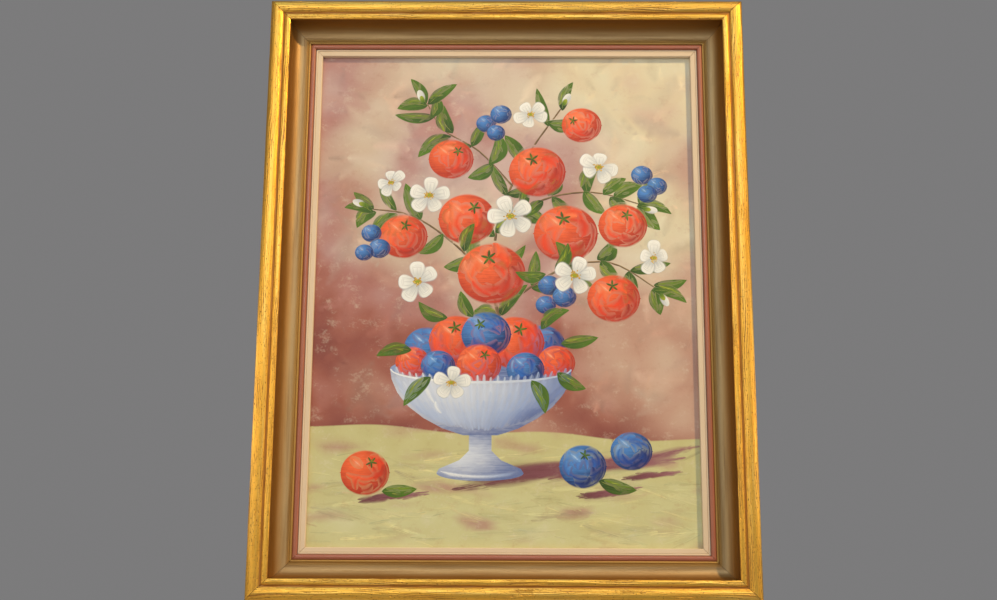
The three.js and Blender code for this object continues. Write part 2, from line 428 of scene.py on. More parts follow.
def copy_of(piece, name):
    twin = piece.copy()
    twin.data = piece.data.copy()
    twin.name = name
    bpy.context.collection.objects.link(twin)
    return twin


def select_only(piece):
    bpy.ops.object.select_all(action="DESELECT")
    piece.select_set(True)
    bpy.context.view_layer.objects.active = piece


# %% [markdown]
# ## Furrows in the gesso
#
# The gilded bead and shoulder aren't smooth. The gesso under the gold was combed along the moulding while it
# was soft, so wavy furrows some two millimetres apart run along it, with pits between. They are real
# relief: every vertex sinks along its normal by a depth that is a wandering wave plus noise. The depth is kept
# as a note too, because dirt gathers in the furrows and the gold wears off between them.

# %% Comb the beads
FURROW_DEPTH = 0.42 * MM
FURROW_PITCH = 2.3 * MM
BEADS_END = 24.3 * MM
SCOOP_END = 44 * MM
FRONT_DEPTH = 26 * MM
SIDE_SHIFT = 1.3
COMBED, BRUSHED_SCOOP, BRUSHED_EDGE = 1, 0.05, 0.12


def furrow(along, round_way, side_number):
    """How deep the furrow is here, from 0 to 1."""
    wander = noise.noise((along / 0.07, round_way / 0.012, side_number * 7.3))
    drift = noise.noise((along / 0.018, round_way / 0.004, side_number * 3.1 + 40))
    comb = 0.5 + 0.5 * math.sin(2 * math.pi * (round_way / FURROW_PITCH + 1.6 * wander + 0.25 * drift))
    patchy = 0.62 + 0.75 * noise.noise((along / 0.05, round_way / 0.006, side_number * 5.7 + 80))
    chatter = noise.noise((along / 0.006, round_way / 0.0016, side_number * 2.9 + 120))
    return min(1.0, max(0.0, comb * patchy + 0.3 * chatter))


def comb_front(piece, side_number):
    """Sinks the front of a length by its furrows, and notes their depth."""
    mesh = piece.data
    count = len(mesh.vertices)
    where = places(mesh)
    normals = np.empty(count * 3, dtype=np.float32)
    mesh.vertices.foreach_get("normal", normals)
    normals = normals.reshape(-1, 3)
    notes = np.empty(count * 3, dtype=np.float32)
    mesh.attributes["grain"].data.foreach_get("vector", notes)
    notes = notes.reshape(-1, 3)
    notes[:, 0] = where[:, 0] + SIDE_SHIFT * side_number
    depth = np.zeros(count, dtype=np.float32)
    share = np.zeros(count, dtype=np.float32)
    on_front = where[:, 1] < FRONT_DEPTH
    for i in np.nonzero(on_front)[0]:
        w = notes[i, 2]
        depth[i] = furrow(float(notes[i, 0]), float(notes[i, 1]), side_number)
        share[i] = COMBED if w < BEADS_END else BRUSHED_SCOOP if w < SCOOP_END else BRUSHED_EDGE
    moved = where - normals * (depth * share * FURROW_DEPTH)[:, None]
    mesh.vertices.foreach_set("co", moved.ravel())
    mesh.attributes["grain"].data.foreach_set("vector", notes.ravel())
    store(mesh, "relief", np.stack([depth, share, where[:, 1]], 1))
    mesh.update()


# %% [markdown]
# ## Gold, bronze and red
#
# One finish covers the whole front, since the gilder worked across it in one go. The note of how far in a
# point lies tells bead from scoop from red bead. Gold leaf is metal, bright and warm on the ridges, and dark
# with old dirt in the furrows and the groove. The scoop is bronze powder in varnish, so it is duller and
# browner. Its colour holds painted light: it is painted darker and more saturated by the shoulder's wall,
# as painted shade and a painted reflection of the gold, and lighter and more golden towards the fillet, as
# painted warm light. The last bead is red bole, the clay that gilders lay under gold, left bare.

# %% Gilded front
gilding = Finish("gilded_front", Coat_Roughness=0.22)
grain = gilding.attribute("grain")
along, around, inward = gilding.split(grain)
furrow_depth, _, backward = gilding.split(gilding.attribute("relief"))
edge_wobble = (gilding.noise(grain, (60, 400, 0), detail=3) - 0.5) * (0.7 * MM)
past_shoulder = gilding.ramp(inward + edge_wobble, BEADS_END + 0.25 * MM, BEADS_END + 0.8 * MM)
down_wall = gilding.ramp(backward + edge_wobble, 0.9 * MM, 2.2 * MM) * gilding.ramp(inward, 23.9 * MM, 24.4 * MM)
in_scoop = gilding.math("MAXIMUM", past_shoulder, down_wall)
in_fillet = gilding.ramp(inward, SCOOP_END, SCOOP_END + 0.4 * MM)
in_red = gilding.ramp(inward + edge_wobble * 0.6, 47.3 * MM, 47.9 * MM)
in_groove = gilding.ramp(1 - gilding.math("ABSOLUTE", inward - GROOVE * MM) / (2.0 * MM), 0.1, 0.75)

hair = gilding.noise(grain, (22, 1500, 1), detail=3, roughness=0.6)
streak = gilding.noise(grain, (9, 260, 1), detail=3)
cloud = gilding.noise(grain, (14, 24, 1), detail=3)
speck = gilding.noise(grain, (360, 620, 1), detail=2)
scratch_line = gilding.noise(grain, (45, 900, 1), detail=2)

gold = gilding.mix(cloud, pigment("eaa83a"), pigment("f6bf4c"))
gold = gilding.mix(gilding.ramp(streak, 0.45, 0.8) * 0.7, gold, pigment("fcd470"))
dirt = gilding.ramp(furrow_depth + (hair - 0.5) * 0.7, 0.42, 0.95)
pits = gilding.ramp(speck + furrow_depth * 0.2, 0.66, 0.76)
lines = gilding.ramp(scratch_line, 0.6, 0.74)
grime = gilding.math("MAXIMUM", dirt * 0.75, in_groove * 0.9)
grime = gilding.math("MAXIMUM", grime, gilding.math("MAXIMUM", pits * 0.85, lines * 0.6))
gold = gilding.mix(grime, gold, pigment("9c621a"))

# Painted shade and light in the scoop: the bronze is painted dark brown-gold by the wall, as shade and reflected gold,
# paler further in, and golden by the fillet, as painted warm light.
scoop_shade_to_light = gilding.ramp(inward + (cloud - 0.5) * (3 * MM), 27 * MM, 38 * MM)
bronze = gilding.mix(scoop_shade_to_light, pigment("8e5f20"), pigment("bd9d6c"))
bronze = gilding.mix(gilding.ramp(inward, 40 * MM, 43 * MM) * 0.6, bronze, pigment("c99a4a"))
bronze = gilding.mix(gilding.ramp(streak, 0.4, 0.75) * 0.5, bronze, pigment("86602e"))
fillet_colour = gilding.mix(streak, pigment("c2964c"), pigment("a67c3e"))
bole = gilding.mix(cloud, pigment("9c5236"), pigment("b06848"))
bole = gilding.mix(gilding.ramp(hair, 0.55, 0.8) * 0.6, bole, pigment("743a24"))

front_colour = gilding.mix(in_scoop, gold, bronze)
front_colour = gilding.mix(in_fillet, front_colour, fillet_colour)
front_colour = gilding.mix(in_red, front_colour, bole)
metal = (1 - grime * 0.45) * (1 - in_scoop * 0.3) * (1 - in_red * 0.9)
dull = 0.36 + (hair - 0.5) * 0.2 + grime * 0.2 + in_scoop * 0.16 - in_red * 0.05
varnish = 0.3 - in_scoop * 0.2 + in_red * 0.5
relief = furrow_depth * 0.2 + hair * 0.5 * (1 - in_scoop * 0.9) + streak * 0.15 * (1 - in_scoop * 0.8)
relief = relief - pits * 0.5 - lines * 0.3
GILDED_FRONT = gilding.wear(
    Base_Color=front_colour,
    Metallic=metal,
    Roughness=dull,
    Coat_Weight=varnish,
    Normal=gilding.bump(relief, 0.3 * MM, 0.8),
)

# %% [markdown]
# ## Sides and back of the frame
#
# The outer side is stained and waxed dark brown, and a little gold has strayed round the corner. Behind,
# the moulding is bare softwood that has darkened, with the saw's marks still on it. Wood grain is noise that
# is stretched a hundred times along the length.


# %% Stained side and bare wood
def wood_finish(name, pale, dark, roughness):
    """Planed softwood with its grain along the first number of the grain note."""
    wood = Finish(name, Roughness=roughness)
    place = wood.attribute("grain")
    rings = wood.noise(place, (3, 260, 260), detail=4, roughness=0.6)
    pores = wood.noise(place, (30, 2600, 2600), detail=2)
    patch = wood.noise(place, (8, 30, 30), detail=3)
    colour = wood.mix(wood.ramp(rings, 0.3, 0.72), pigment(pale), pigment(dark))
    colour = wood.mix(wood.ramp(patch, 0.35, 0.9) * 0.35, colour, pigment("6b4a2a"))
    colour = wood.mix(wood.ramp(pores, 0.6, 0.8) * 0.35, colour, pigment("4c3118"))
    return wood.wear(Base_Color=colour, Normal=wood.bump(rings * 0.6 + pores * 0.5, 0.25 * MM, 0.7))


stain = Finish("stained_side")
stain_place = stain.attribute("grain")
stain_hair = stain.noise(stain_place, (14, 900, 1), detail=3)
stain_cloud = stain.noise(stain_place, (20, 60, 1), detail=3)
stain_depth = stain.split(stain.attribute("relief"))[2]
stray_gold = 1 - stain.ramp(stain_depth + (stain_hair - 0.5) * (3 * MM), 5 * MM, 8 * MM)
scuff = stain.ramp(stain_cloud + stain_hair * 0.3, 0.72, 0.86) * 0.6
stain_colour = stain.mix(stain_hair, pigment("4a2f18"), pigment("6a4523"))
stain_colour = stain.mix(scuff, stain_colour, pigment("9c7444"))
stain_colour = stain.mix(stray_gold * 0.75, stain_colour, pigment("b98738"))
STAINED_SIDE = stain.wear(
    Base_Color=stain_colour,
    Metallic=stray_gold * 0.6,
    Roughness=0.5 + stain_hair * 0.15,
    Normal=stain.bump(stain_hair, 0.2 * MM, 0.6),
)
BARE_BACK = wood_finish("bare_back", "b8905c", "8f6a3e", 0.78)

# %% [markdown]
# ## The four sides of the frame
#
# Two lengths are sawn, one short and one long, and each is copied before it is combed, so that no two sides
# have the same furrows. Faces are then given their finish by where they lie: the back is bare wood, the
# outer side is stained, and all the rest that shows is gilded.


# %% Make the rails
OUTER_SKIN = 1 * MM
STAIN_START = 4.5 * MM
SMOOTH_BELOW = 50


def dress_rail(piece):
    """Gives each face of a rail that still lies along X its finish."""
    mesh = piece.data
    for finish in (GILDED_FRONT, STAINED_SIDE, BARE_BACK):
        mesh.materials.append(finish)
    for face in mesh.polygons:
        inwards, back = face.center.z, face.center.y
        if back > FRONT_DEPTH and inwards > OUTER_SKIN:
            face.material_index = 2
        elif back > STAIN_START and inwards < OUTER_SKIN:
            face.material_index = 1


def smooth(piece):
    select_only(piece)
    bpy.ops.object.shade_smooth_by_angle(angle=math.radians(SMOOTH_BELOW))


short_rail = mitred_length("rail_pattern_short", frame_section, OUTER_WIDTH, SLICE)
long_rail = mitred_length("rail_pattern_long", frame_section, OUTER_HEIGHT, SLICE)
for number, side in enumerate(SIDES):
    rail = copy_of(long_rail if side in ("left", "right") else short_rail, f"gilded_rail_{side}")
    comb_front(rail, number)
    dress_rail(rail)
    stand_on_side(rail, side)
    smooth(rail)
    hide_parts(f"frame_{side}")
    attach(rail, "root")
    print(rail.name, "has", len(rail.data.polygons), "faces")
for pattern in (short_rail, long_rail):
    bpy.data.objects.remove(pattern)

# %% [markdown]
# ## The cream slip
#
# Between gold and paint sits a narrow slip, painted cream so that the gold doesn't fight the picture. It has a
# fine bead, a thin quirk that has gone brown, and a flat with its edge just rounded. It is brush-painted, so its
# surface carries faint ridges along the length and it is a little yellow where hands have been.

# %% Slip finish and its four lengths
cream = Finish("cream_paint")
cream_place = cream.attribute("grain")
slip_inward = cream.split(cream_place)[2]
bristle = cream.noise(cream_place, (12, 2200, 1), detail=2)
yellowing = cream.noise(cream_place, (16, 90, 1), detail=3)
quirk = cream.ramp(1 - cream.math("ABSOLUTE", slip_inward - QUIRK * MM) / (0.45 * MM), 0.1, 0.8)
chips = cream.ramp(cream.noise(cream_place, (160, 500, 1), detail=3), 0.7, 0.76)
cream_colour = cream.mix(yellowing, pigment("e8d0b2"), pigment("dfc5a1"))
cream_colour = cream.mix(quirk * 0.3, cream_colour, pigment("b08c62"))
cream_colour = cream.mix(chips * 0.5, cream_colour, pigment("b5905f"))
CREAM_PAINT = cream.wear(
    Base_Color=cream_colour,
    Roughness=0.46 + bristle * 0.15,
    Normal=cream.bump(bristle * 0.6 - chips * 0.3, 0.12 * MM, 0.7),
)

short_slip = mitred_length("slip_pattern_short", slip_section, OUTER_WIDTH, SLIP_SLICE)
long_slip = mitred_length("slip_pattern_long", slip_section, OUTER_HEIGHT, SLIP_SLICE)
for number, side in enumerate(SIDES):
    slip = copy_of(long_slip if side in ("left", "right") else short_slip, f"cream_slip_{side}")
    comb_front(slip, number + 4)
    slip.data.materials.append(CREAM_PAINT)
    stand_on_side(slip, side)
    smooth(slip)
    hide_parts(f"liner_{side}")
    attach(slip, "root")
for pattern in (short_slip, long_slip):
    bpy.data.objects.remove(pattern)

# %% [markdown]
# ## Planning the painting
#
# The picture is an oil painting of fruit on the bough with blossom, over a pale blue footed bowl. It is
# made as a painter makes it: from the back forwards, one touch of the brush after another. Each touch is
# a small shape with two paints that were not quite mixed. All touches are cut into one flat mesh later on,
# so nothing floats over the canvas. The plan is in millimetres from the picture's middle, z being up.

# %% One touch of the brush
brush = random.Random(11)
touches = []
PLAIN_TOUCH = dict(bend=0, ending=0.5, skew=0, soft=0.4, rag=0.5, hairs=0.5, tone=(0.5, 0.5, 0))
PLAIN_TOUCH.update(glow=None, outline=None, dapple=0.25)
BEND_SHARE = 0.33
LIT_FROM = 132


def paints(codes):
    """A row of paints, from the deepest to the lightest."""
    return [np.array(pigment(code)[:3]) for code in codes.split()]


def shade(row, level):
    """The paint at a level from 0, the deepest of the row, to 1, the lightest."""
    place = min(max(level, 0), 0.999) * (len(row) - 1)
    step = int(place)
    return row[step] + (row[step + 1] - row[step]) * (place - step)


def vary(paint, amount):
    """The same paint, mixed a little lighter or darker and warmer or cooler."""
    lift = 1 + brush.uniform(-amount, amount)
    warmth = brush.uniform(-amount, amount) * 0.4
    return np.clip(paint * lift * np.array((1 + warmth, 1, 1 - warmth)), 0, 1)


def touch(x, z, angle, length, width, first, second, **style):
    """One touch: its middle, its direction in degrees, half its length and half its width."""
    laid_down = PLAIN_TOUCH | style
    laid_down.update(x=x, z=z, angle=math.radians(angle), length=length, width=width, first=first, second=second)
    touches.append(laid_down)


def patch(outline, first, second, **style):
    """A shape filled in with a firm edge, such as the side of a bowl."""
    xs, zs = zip(*outline)
    x, z = (min(xs) + max(xs)) / 2, (min(zs) + max(zs)) / 2
    touch(x, z, 0, (max(xs) - min(xs)) / 2, (max(zs) - min(zs)) / 2, first, second, outline=outline, **style)


# %% [markdown]
# ## Wall and table
#
# Behind the fruit is a wall scumbled in mauve, pink and cream, and below it a yellow-green table. A
# soft wash comes first. Then wide dry touches are dragged over it in all directions, each one only a little
# off the colour beneath, which gives the cloudy look of thinned oil paint.

# %% The wash
MAUVE = paints("8c4a40 a4604f b47a70 bd938c cdb0a8")
CREAM = paints("c89a84 d2b09a d8c0a8 dfcfae e2d9ba")
STRAW = paints("a39a5c bcb476 cdc68c d6d39e e2dfb8")
PLUM = paints("5a2c36 703c44 864d54 9c666c ad8080")
TABLE_LEFT, TABLE_RIGHT = -158, -176


def table_edge(x):
    return TABLE_LEFT + (TABLE_RIGHT - TABLE_LEFT) * (x + 225) / 450 + 3 * math.sin(x / 31)


def cloud_at(x, z, size, seed):
    """Smooth noise from about 0 to 1 over the picture, its clouds as wide as size."""
    return 0.5 + 0.75 * noise.noise((x / size, z / size, seed))


def wash(x, z):
    """The colour of wall or table before any touch is laid on it."""
    if z < table_edge(x):
        near = min(1, (table_edge(x) - z) / 120)
        base = shade(STRAW, 0.42 + 0.4 * near * cloud_at(x, z * 2.5, 70, 5) + 0.15 * cloud_at(x, z * 3, 24, 9))
        rosy = max(0, cloud_at(x, z * 3.2, 55, 21) - 0.62) * 2.2
        return base + (shade(MAUVE, 0.6) - base) * min(0.75, rosy)
    height = (z - table_edge(x)) / 460
    side = abs(x - 20) / 225
    pale = 0.12 + 1.5 * min(height, 0.55) - 0.28 * side**2
    pale += 0.6 * (cloud_at(x, z, 90, 2) - 0.5) + 0.45 * (cloud_at(x, z, 34, 3) - 0.5)
    creamy = min(1, max(0, 0.25 + 0.9 * (x + z * 0.3) / 400 + 1.4 * (cloud_at(x, z, 110, 7) - 0.5)))
    mauve = shade(MAUVE, pale)
    return mauve + (shade(CREAM, pale) - mauve) * creamy


# %% Dry touches over the wash
def scumble(count, low, high, length, width, lean, spread):
    """Lays wide dry touches between two heights, in colours near those beneath."""
    for _ in range(count):
        x, z = brush.uniform(-224, 224), brush.uniform(low, high)
        lift = brush.uniform(-1, 1)
        first = vary(wash(x, z), 0.12) * (1 + 0.24 * lift)
        second = vary(wash(x + 14, z + 9), 0.16) * (1 + 0.08 * lift)
        size = brush.uniform(0.55, 1.2)
        way = lean + brush.gauss(0, spread)
        touch(
            x, z, way, length * size, width * size, first, second,
            soft=1.0, rag=0.9, hairs=0.6, ending=0.4, dapple=1, bend=brush.uniform(-0.4, 0.4),
        )  # fmt: skip


scumble(170, -140, 298, 28, 11, 40, 45)
scumble(190, -146, 298, 15, 6, 30, 50)
scumble(80, -296, -188, 34, 7, -2, 9)
scumble(90, -296, -182, 18, 4, 0, 12)
print("touches on wall and table:", len(touches))

# %% [markdown]
# ## Shadows on the table
#
# The painted light comes from the upper left, so shadows lie to the right of what stands on the table,
# in plum red that is cooler further off.


# %% Cast shadows
def cast_shadow(x, z, reach, depth):
    for layer in range(26):
        along = layer / 25
        tone = 0.2 + 0.45 * along
        touch(
            x + reach * (0.92 * along + 0.06) + brush.gauss(0, 3),
            z - depth * 0.1 + 0.12 * reach * along + brush.gauss(0, depth * 0.13),
            8 + brush.gauss(0, 5),
            reach * 0.2 * (1.3 - along * 0.6),
            depth * 0.26 * (1.25 - along * 0.5),
            vary(shade(PLUM, tone), 0.1),
            vary(shade(PLUM, tone + 0.25), 0.1),
            soft=0.85,
            rag=0.7,
            hairs=0.8,
        )


cast_shadow(-20, -216, 215, 30)

# %% [markdown]
# ## Fruit, leaves, blossom and twigs
#
# Each kind of thing has its own small recipe. A fruit is a round touch that glows on the lit side, with
# curved touches that follow the ball, then its highlight. A leaf is a pointed touch with a lighter half, a few
# broken greens and a rib. A blossom is five rounded petals around a heart of yellow dots.

# %% Paint a fruit
RED = paints("98200a cc3410 ee4214 ff5a20 ff8048 ffbc98")
BLUE = paints("0a1648 10307c 1a4ca8 2f74cc 6aa4e4 c4daf4")
LIGHT = Vector((-0.52, 0.58, 0.63)).normalized()


def on_ball(a, b):
    """How bright a ball is at a point of its disc, from 0 to 1, with light thrown back at the far rim."""
    front = math.sqrt(max(0, 1 - a * a - b * b))
    lit = max(0, LIGHT.dot((a, b, front)))
    thrown_back = 0.16 * max(0, 0.7 * a - 0.7 * b - 0.45)
    return 0.1 + 0.72 * lit + thrown_back


def fruit(x, z, radius, row, stalk=None):
    """A round fruit: the ball, broad touches that turn with it, its highlight and the star at its stalk."""
    glow = (-0.34, 0.38, 1.5)
    touch(x, z, 0, radius, radius * 0.97, shade(row, 0.7), shade(row, 0.1), glow=glow, soft=0.1, rag=0.15, hairs=0.3)
    for _ in range(22 if radius > 16 else 7):
        turn = 2 * math.pi * brush.random()
        ring = 0.12 + 0.66 * math.sqrt(brush.random())
        a, b = ring * math.cos(turn), ring * math.sin(turn)
        level = on_ball(a, b) + brush.uniform(-0.1, 0.1)
        way = math.degrees(turn) + 90 + brush.gauss(0, 22)
        touch(
            x + a * radius, z + b * radius, way,
            radius * brush.uniform(0.2, 0.36), radius * brush.uniform(0.12, 0.2),
            vary(shade(row, level + 0.04), 0.06), vary(shade(row, level - 0.06), 0.06),
            bend=0.5, ending=0.35, soft=1.0, rag=0.3, hairs=0.5,
        )  # fmt: skip
    for turn in (-80, -50, -22, 5):
        a, b = 0.85 * math.cos(math.radians(turn)), 0.85 * math.sin(math.radians(turn))
        first, second = shade(row, 0.2), shade(row, 0.05)
        touch(
            x + a * radius, z + b * radius, turn + 90, radius * 0.3, radius * 0.09, first, second,
            bend=0.7, soft=1.0, rag=0.4,
        )  # fmt: skip
    for size, level in ((0.34, 0.82), (0.2, 0.93), (0.1, 1.0)):
        first, second = shade(row, level), shade(row, level - 0.1)
        touch(
            x - 0.36 * radius, z + 0.42 * radius, 140, radius * size, radius * size * 0.6, first, second,
            soft=1.0, rag=0.4,
        )  # fmt: skip
    if stalk is not None:
        a, b = 0.5 * math.cos(math.radians(stalk)), 0.5 * math.sin(math.radians(stalk))
        px, pz = x + a * radius, z + b * radius
        touch(px, pz, stalk, radius * 0.2, radius * 0.14, shade(row, 0.02), shade(row, 0.25), glow=(0, 0, 1), soft=0.9)
        for arm in range(5):
            way = math.radians(stalk + 72 * arm + brush.uniform(-12, 12))
            out = 0.12 * radius
            arm_paint = shade(GREEN, brush.uniform(0.15, 0.6))
            touch(
                px + out * math.cos(way), pz + out * math.sin(way), math.degrees(way),
                radius * 0.13, radius * 0.05, arm_paint, GREEN[1], ending=0.7, rag=0.3,
            )  # fmt: skip


# %% Paint a leaf
GREEN = paints("24380e 3a5a12 557a14 789414 a0ac26 cfd060")


def leaf(x, z, angle, length, width):
    """A leaf that starts at a point; length and width are its whole length and half its width."""
    bend = brush.uniform(-0.9, 0.9)
    turn = math.radians(angle)
    half = length / 2
    cx, cz = x + half * math.cos(turn), z + half * math.sin(turn)
    faces_light = math.cos(turn + math.pi / 2 - math.radians(LIT_FROM)) > 0
    dark, light = shade(GREEN, brush.uniform(0.05, 0.3)), shade(GREEN, brush.uniform(0.55, 0.8))
    middle_green = shade(GREEN, 0.42)

    def on_leaf(u, v, way, long, wide, first, second, **style):
        """A touch on the leaf at u along it and v across it, from -1 to 1."""
        across = bend * (u * u - BEND_SHARE) + v
        px = cx + half * u * math.cos(turn) - width * across * math.sin(turn)
        pz = cz + half * u * math.sin(turn) + width * across * math.cos(turn)
        lean = math.degrees(math.atan2(width * bend * 2 * u, half))
        touch(px, pz, angle + lean + way, half * long, width * wide, first, second, **style)

    touch(
        cx, cz, angle, half, width, vary(dark, 0.12), vary(middle_green, 0.12),
        bend=bend, ending=0.78, skew=-0.22, soft=0.14, rag=0.3, hairs=0.7, tone=(0.5, 0.35, 0),
    )  # fmt: skip
    lit = 0.42 if faces_light else -0.42
    for u, v, long, wide in ((-0.2, lit, 0.55, 0.4), (0.35, lit * 0.7, 0.4, 0.28)):
        on_leaf(u, v, 0, long, wide, vary(light, 0.12), vary(middle_green, 0.1), soft=0.9, rag=0.6, hairs=0.9)
    for _ in range(3):
        u, v = brush.uniform(-0.6, 0.6), brush.uniform(-0.45, 0.45)
        paint = shade(GREEN, brush.uniform(0.1, 0.75))
        on_leaf(u, v, brush.uniform(-30, 30), 0.24, 0.16, vary(paint, 0.1), middle_green, soft=1.0, rag=0.7, hairs=0.9)
    if length > 30:
        on_leaf(-0.1, lit * 1.1, 6, 0.26, 0.1, shade(GREEN, 0.95), shade(GREEN, 0.75), soft=1.0, rag=0.7)
    touch(
        cx, cz, angle, half * 0.9, 0.5, shade(GREEN, 0.82), shade(GREEN, 0.5),
        bend=bend * width / 0.5, ending=0.4, soft=0.9, rag=0.7, hairs=0.5,
    )  # fmt: skip


# %% Paint a blossom and a bud
WHITE = paints("8f96a4 b3b7be cdd0cf e3e3da f1f0e8 fbfaf4")
YELLOW = paints("8a5a12 bf8a1c dcae2c efcb4c f8e27e")


def blossom(x, z, radius, turn, squash, lean):
    """Five petals round a yellow heart. squash below 1 shows the flower partly from its side."""

    def flattened(a, b):
        c, s = math.cos(math.radians(lean)), math.sin(math.radians(lean))
        p, q = a * c + b * s, (-a * s + b * c) * squash
        return x + p * c - q * s, z + p * s + q * c

    petal_form = dict(skew=0.42, ending=0.42)
    for petal in sorted(range(5), key=lambda _: brush.random()):
        way = math.radians(turn + 72 * petal + brush.uniform(-7, 7))
        cx, cz = flattened(0.56 * radius * math.cos(way), 0.56 * radius * math.sin(way))
        tip_x, tip_z = flattened(radius * math.cos(way), radius * math.sin(way))
        seen = math.hypot(tip_x - x, tip_z - z) / radius
        angle = math.degrees(math.atan2(tip_z - z, tip_x - x))
        length, width = 0.46 * radius * seen, 0.35 * radius
        lit = 0.5 + 0.5 * math.cos(way - math.radians(LIT_FROM))
        touch(
            cx, cz, angle, length * 1.04, width * 1.05, shade(WHITE, 0.1), shade(WHITE, 0.32),
            soft=0.15, rag=0.2, **petal_form,
        )  # fmt: skip
        touch(
            cx, cz, angle, length, width,
            vary(shade(WHITE, 0.32 + 0.2 * lit), 0.03), vary(shade(WHITE, 0.8 + 0.2 * lit), 0.02),
            soft=0.2, rag=0.3, hairs=0.45, tone=(0.62, 0.6, 0.1), **petal_form,
        )  # fmt: skip
        for vein in (-0.5, 0, 0.5):
            px = cx - width * vein * math.sin(math.radians(angle))
            pz = cz + width * vein * math.cos(math.radians(angle))
            touch(
                px, pz, angle + 12 * vein, length * 0.62, 0.5, shade(WHITE, 0.42), shade(WHITE, 0.75),
                soft=0.9, rag=0.4, hairs=0.4,
            )  # fmt: skip
        touch(
            cx + 0.5 * (tip_x - cx), cz + 0.5 * (tip_z - cz), angle + 90, width * 0.62, length * 0.16,
            shade(WHITE, 1), shade(WHITE, 0.9), bend=0.9, soft=0.8, rag=0.6,
        )  # fmt: skip
    touch(x, z, 0, radius * 0.2, radius * 0.17, shade(GREEN, 0.75), shade(YELLOW, 0.3), glow=(0, 0, 1.1), soft=0.4)
    for _ in range(15):
        way, out = brush.uniform(0, 2 * math.pi), radius * (0.1 + 0.19 * brush.random())
        px, pz = flattened(out * math.cos(way), out * math.sin(way))
        first, second = shade(YELLOW, brush.uniform(0.35, 1)), shade(YELLOW, brush.uniform(0, 0.6))
        touch(px, pz, math.degrees(way), radius * 0.05, radius * 0.034, first, second, soft=0.5, rag=0.1)


def bud(x, z, angle, radius, row):
    turn = math.radians(angle)
    first, second = shade(row, 0.8), shade(row, 0.35)
    touch(x, z, angle, radius, radius * 0.62, first, second, soft=0.2, rag=0.2, tone=(0.5, -0.2, -0.5))
    cup_x, cup_z = x - 0.6 * radius * math.cos(turn), z - 0.6 * radius * math.sin(turn)
    touch(cup_x, cup_z, angle, radius * 0.6, radius * 0.45, GREEN[2], GREEN[4], ending=0.6, soft=0.3)


# %% Paint a twig
def between(t, p, q, r, s):
    """The curve's value a share t of the way from q to r, where p comes before them and s after."""
    squared_share, cubed_share = (2 * p - 5 * q + 4 * r - s) * t * t, (3 * q - p - 3 * r + s) * t**3
    return 0.5 * (2 * q + (r - p) * t + squared_share + cubed_share)


def curve_through(points, steps):
    """Points along a smooth curve through the given ones."""
    padded = [points[0]] + list(points) + [points[-1]]
    found = []
    for a, b, c, d in zip(padded, padded[1:], padded[2:], padded[3:]):
        for i in range(steps):
            t = i / steps
            found.append(tuple(between(t, *four) for four in zip(a, b, c, d)))
    return found + [points[-1]]


BARK = paints("3a2a1c 57402a 74583a 947a50 b4a070")
CURVE_STEPS = 5


def twig(points, start_width, end_width):
    route = curve_through(points, CURVE_STEPS)
    for i, ((ax, az), (bx, bz)) in enumerate(zip(route, route[1:])):
        width = start_width + (end_width - start_width) * i / len(route)
        angle = math.degrees(math.atan2(bz - az, bx - ax))
        half = math.dist((ax, az), (bx, bz)) * 0.62
        lit = 1 if math.cos(math.radians(angle + 90 - LIT_FROM)) > 0 else -1
        touch(
            (ax + bx) / 2, (az + bz) / 2, angle, half, width,
            vary(shade(BARK, 0.3), 0.15), vary(shade(BARK, 0.75), 0.15),
            ending=0.16, soft=0.3, rag=0.3, tone=(0.5, 0, 0.5 * lit),
        )  # fmt: skip


# %% [markdown]
# ## Laying out the picture
#
# Painted from the back forwards: first the hollow of the bowl and its foot, then the boughs that rise from
# it with their leaves and fruit, then the fruit heaped in the bowl, and its pale side over that. The
# plums and the single red fruit on the table come last.

# %% The foot and the hollow of the bowl
CHINA = paints("5d6fa6 8093c4 9fb2da bccae6 d6deee f0f3f6")
BOWL_X, RIM_Z, RIM_HALF, RIM_DIP = -28, -92, 106, 17
FOOT_Z, FOOT_HALF = -214, 50
FOOT_PROFILE = ((FOOT_HALF - 3, 5), (24, 15), (13, 26), (13, 44))
SIDE_PROFILE = ((104, -104), (97, -120), (84, -136), (66, -150), (44, -162), (20, -170))


foot = (
    arc(BOWL_X, FOOT_Z, FOOT_HALF, 9, 180, 360, 20)
    + [(BOWL_X + half, FOOT_Z + up) for half, up in FOOT_PROFILE]
    + [(BOWL_X - half, FOOT_Z + up) for half, up in reversed(FOOT_PROFILE)]
)
patch(foot, shade(CHINA, 0.85), shade(CHINA, 0.05), glow=(-0.45, 0.1, 1.5), hairs=0.25)
for step in range(16):
    across = -0.85 + 1.7 * step / 15
    level = 0.78 - 0.5 * across - 0.25 * across * across
    touch(
        BOWL_X + FOOT_HALF * across * 0.9, FOOT_Z + 1 - 5 * (1 - across * across), 24 * across, 8, 2.4,
        shade(CHINA, level + 0.1), shade(CHINA, level - 0.1), soft=0.8, rag=0.7,
    )  # fmt: skip
patch(arc(BOWL_X, RIM_Z, RIM_HALF, RIM_DIP, 0, 356, 44), shade(CHINA, 0.3), shade(CHINA, 0.0))

# %% The boughs
boughs = [
    ([(2, -70), (-14, 10), (-8, 90), (22, 165), (66, 232)], 2.6, 1.0),
    ([(-14, 12), (-62, 62), (-112, 96), (-158, 104)], 1.9, 0.8),
    ([(-9, 80), (44, 116), (104, 126), (158, 112)], 1.8, 0.8),
    ([(8, 134), (-32, 178), (-76, 206), (-96, 240)], 1.5, 0.7),
    ([(-6, -20), (62, 28), (124, 38), (176, 8)], 1.9, 0.8),
]
for points, start_width, end_width in boughs:
    twig(points, start_width, end_width)

